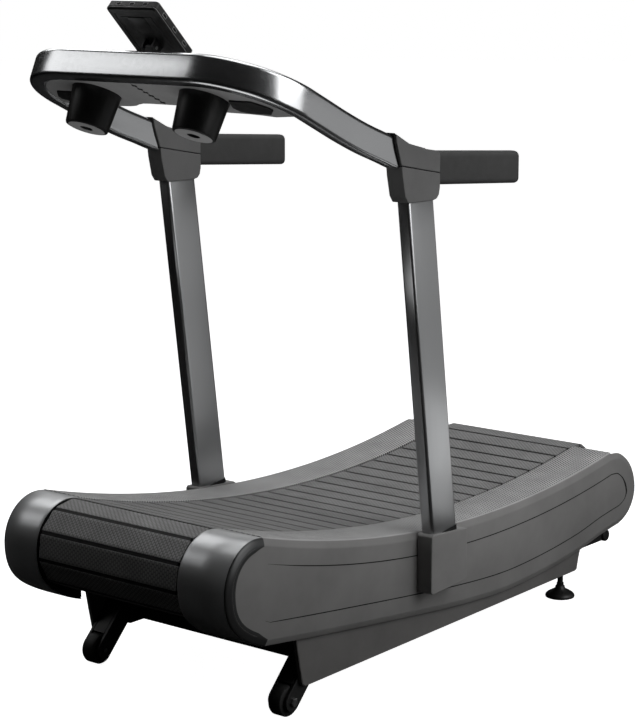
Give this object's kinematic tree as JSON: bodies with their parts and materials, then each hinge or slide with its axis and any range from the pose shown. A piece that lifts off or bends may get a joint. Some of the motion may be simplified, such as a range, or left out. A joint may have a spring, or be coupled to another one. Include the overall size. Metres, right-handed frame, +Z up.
{
  "type": "curved manual treadmill",
  "caption": "Manual treadmill with a curved slatted running belt, leaning posts, looped handlebar with cup holders and a small tilting monitor.",
  "frame": {"origin": "on the floor, under the middle of the machine's bounding box", "axes": "+Z up, +Y along the machine from the console end to the rear, +X across it to the left of a runner who faces the console"},
  "size_m": [0.8, 1.76, 1.6288],
  "materials": {
    "painted_frame": "satin black powder coat",
    "steel": "machined, slightly dull",
    "grey_casing": "fine texture, warm mid-dark grey",
    "dark_skirt": "fine texture, dark grey",
    "foot_tread": "fine honeycomb grip pattern",
    "silver_cap": "satin silver-grey",
    "tube_silver": "satin silver-grey metallic",
    "slat_rubber": "moulded honeycomb texture, dark grey",
    "grey_plastic": "fine texture, dark grey",
    "grip_rubber": "matt foam rubber, dark grey",
    "black_plastic": "fine texture, black",
    "black_gloss": "smooth, black",
    "screen_glass": "smooth dark window"
  },
  "bodies": {
    "machine": {"base_rail_left": "painted_frame", "base_rail_right": "painted_frame", "base_cross_front": "painted_frame", "base_cross_rear": "painted_frame", "side_frame_left": "painted_frame", "side_frame_right": "painted_frame", "deck_cross_front": "painted_frame", "deck_cross_mid": "painted_frame", "deck_cross_rear": "painted_frame", "bearing_rail_left": "steel", "bearing_rail_right": "steel", "casing_left": "grey_casing", "casing_right": "grey_casing", "tread_left": "foot_tread", "tread_right": "foot_tread", "front_cap_left": "silver_cap", "front_cap_right": "silver_cap", "skirt_left": "dark_skirt", "skirt_right": "dark_skirt", "front_axle": "steel", "rear_axle": "steel", "post_left": "tube_silver", "post_right": "tube_silver", "post_boot_left": "grey_casing", "post_boot_right": "grey_casing", "handlebar": "tube_silver", "post_bracket_left": "grey_plastic", "post_bracket_right": "grey_plastic", "bar_sleeve_left": "grey_plastic", "bar_sleeve_right": "grey_plastic", "grip_left": "grip_rubber", "grip_right": "grip_rubber", "console_tray": "black_plastic", "cup_holder_left": "black_gloss", "cup_holder_right": "black_gloss", "monitor_stand": "black_plastic", "wheel_arm_left": "painted_frame", "wheel_arm_right": "painted_frame", "wheel_bolt_left": "steel", "wheel_bolt_right": "steel", "foot_nut_left": "steel", "foot_nut_right": "steel", "lift_handle": "painted_frame"},
    "top_run": {"belt_top_run": "slat_rubber"},
    "front_roller": {"front_drum": "steel", "belt_front_wrap": "slat_rubber"},
    "rear_roller": {"rear_drum": "steel", "belt_rear_wrap": "slat_rubber"},
    "return_run": {"belt_return_run": "slat_rubber"},
    "wheel_left": {"wheel_left": "grip_rubber"},
    "wheel_right": {"wheel_right": "grip_rubber"},
    "foot_left": {"rear_foot_left": "black_plastic"},
    "foot_right": {"rear_foot_right": "black_plastic"},
    "monitor": {"monitor_back": "black_gloss", "monitor_bezel": "silver_cap", "monitor_screen": "screen_glass"},
    "start_button": {"button_start": "black_plastic"},
    "select_button": {"button_select": "black_plastic"},
    "stop_button": {"button_stop": "black_plastic"},
    "battery_hatch": {"battery_cover": "black_gloss"}
  },
  "joints": [
    {"name": "belt_travel", "type": "hinge", "parent": "machine", "child": "top_run", "pos_m": [0, 0.18, 3.681], "axis": [1, 0, 0], "range_deg": [-0.55, 0.55]},
    {"name": "front_roller_turn", "type": "hinge", "parent": "machine", "child": "front_roller", "pos_m": [0, -0.776, 0.35881], "axis": [1, 0, 0], "range_deg": [-17.6, 17.6]},
    {"name": "rear_roller_turn", "type": "hinge", "parent": "machine", "child": "rear_roller", "pos_m": [0, 0.77, 0.27472], "axis": [1, 0, 0], "range_deg": [-17.6, 17.6]},
    {"name": "return_travel", "type": "hinge", "parent": "machine", "child": "return_run", "pos_m": [0, 0.26866, 5.50504], "axis": [1, 0, 0], "range_deg": [-0.35, 0.35]},
    {"name": "wheel_left_spin", "type": "hinge", "parent": "machine", "child": "wheel_left", "pos_m": [0.3002, -0.61, 0.037], "axis": [1, 0, 0], "continuous": true},
    {"name": "wheel_right_spin", "type": "hinge", "parent": "machine", "child": "wheel_right", "pos_m": [-0.3002, -0.61, 0.037], "axis": [1, 0, 0], "continuous": true},
    {"name": "foot_left_height", "type": "slide", "parent": "machine", "child": "foot_left", "axis": [0, 0, 1], "range_m": [-0.012, 0.012]},
    {"name": "foot_right_height", "type": "slide", "parent": "machine", "child": "foot_right", "axis": [0, 0, 1], "range_m": [-0.012, 0.012]},
    {"name": "monitor_tilt", "type": "hinge", "parent": "machine", "child": "monitor", "pos_m": [0, -0.70588, 1.52419], "axis": [1, 0, 0], "range_deg": [-20, 20]},
    {"name": "start_press", "type": "slide", "parent": "monitor", "child": "start_button", "axis": [0, 0.7071, 0.7071], "range_m": [-0.0012, 0], "stiffness_N_per_m": 400, "springref_m": 0.0005},
    {"name": "select_press", "type": "slide", "parent": "monitor", "child": "select_button", "axis": [0, 0.7071, 0.7071], "range_m": [-0.0012, 0], "stiffness_N_per_m": 400, "springref_m": 0.0005},
    {"name": "stop_press", "type": "slide", "parent": "monitor", "child": "stop_button", "axis": [0, 0.7071, 0.7071], "range_m": [-0.0012, 0], "stiffness_N_per_m": 400, "springref_m": 0.0005},
    {"name": "battery_hatch_out", "type": "slide", "parent": "monitor", "child": "battery_hatch", "axis": [0, -0.7071, -0.7071], "range_m": [0, 0.02]}
  ],
  "couplings": [
    {"joint": "front_roller_turn", "follows": "belt_travel", "ratio": -31.308},
    {"joint": "rear_roller_turn", "follows": "belt_travel", "ratio": -31.308},
    {"joint": "return_travel", "follows": "belt_travel", "ratio": -0.6252}
  ]
}
